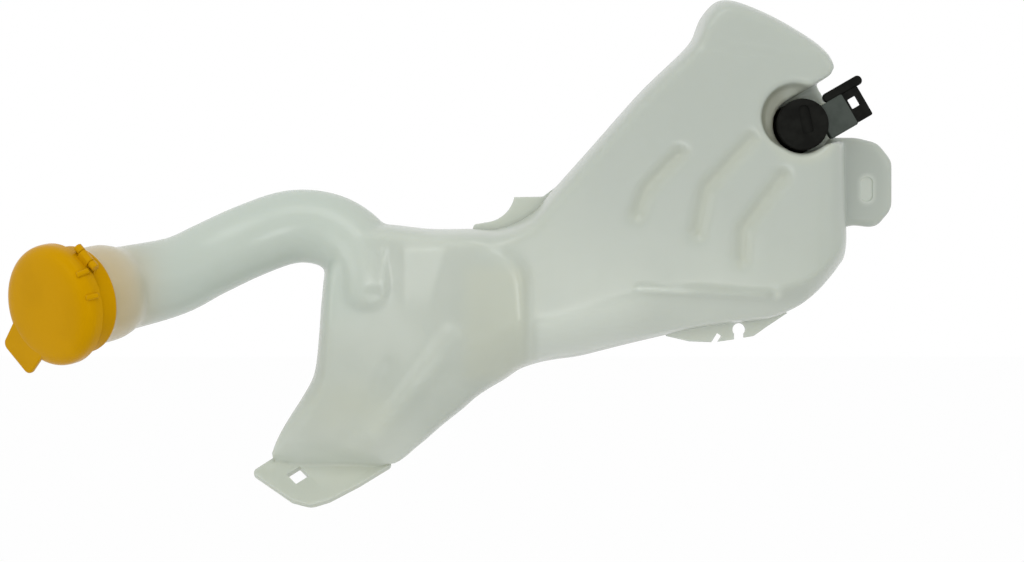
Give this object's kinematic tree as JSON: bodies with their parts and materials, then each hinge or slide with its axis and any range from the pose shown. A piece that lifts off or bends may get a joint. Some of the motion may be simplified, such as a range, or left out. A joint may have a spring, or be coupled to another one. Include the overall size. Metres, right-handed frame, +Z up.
{
  "type": "windscreen washer fluid reservoir",
  "caption": "Blow-moulded washer fluid tank with a long curved filler neck, a hinged snap cap and an electric pump in a pocket, held by a foot plate with a square hole.",
  "frame": {"origin": "middle of the square hole in the mounting foot", "axes": "+X along the tank from the filler to the pump, +Y from the front face to the back, +Z up"},
  "size_m": [0.481, 0.1472, 0.282],
  "materials": {
    "milky_plastic": "satin, translucent",
    "yellow_plastic": "smooth",
    "black_plastic": "fine grain",
    "black_rubber": "matte",
    "white_plastic": "satin",
    "steel": "bright",
    "ferrite": "matte",
    "copper_wire": "bright",
    "bronze": "satin",
    "board": "matte",
    "carbon": "matte"
  },
  "bodies": {
    "reservoir": {"tank": "milky_plastic", "filler_collar": "milky_plastic", "clip_flange": "milky_plastic", "cap_ring": "yellow_plastic", "pump_grommet": "black_rubber", "inlet_strainer": "white_plastic", "pump_volute": "black_plastic", "volute_seal": "black_rubber", "motor_housing": "black_plastic", "flux_ring": "steel", "magnet_upper": "ferrite", "magnet_lower": "ferrite", "front_bush": "bronze", "rear_bush": "bronze", "shaft_seal": "black_rubber", "brush_plate": "board", "brush_left": "carbon", "brush_right": "carbon", "brush_spring_left": "steel", "brush_spring_right": "steel", "terminal_left": "bronze", "terminal_right": "bronze", "end_cap": "black_plastic"},
    "lid": {"cap_lid": "yellow_plastic"},
    "rotor": {"motor_shaft": "steel", "armature_core": "steel", "armature_windings": "copper_wire", "commutator": "copper_wire", "impeller": "black_plastic"}
  },
  "joints": [
    {"name": "cap_hinge", "type": "hinge", "parent": "reservoir", "child": "lid", "pos_m": [-0.0985, -0.09341, 0.12195], "axis": [-0.6497, 0.305, 0.6964], "range_deg": [0, 120]},
    {"name": "rotor_spin", "type": "hinge", "parent": "reservoir", "child": "rotor", "pos_m": [0.277, -0.01, 0.1945], "axis": [0, -1, 0], "continuous": true}
  ]
}
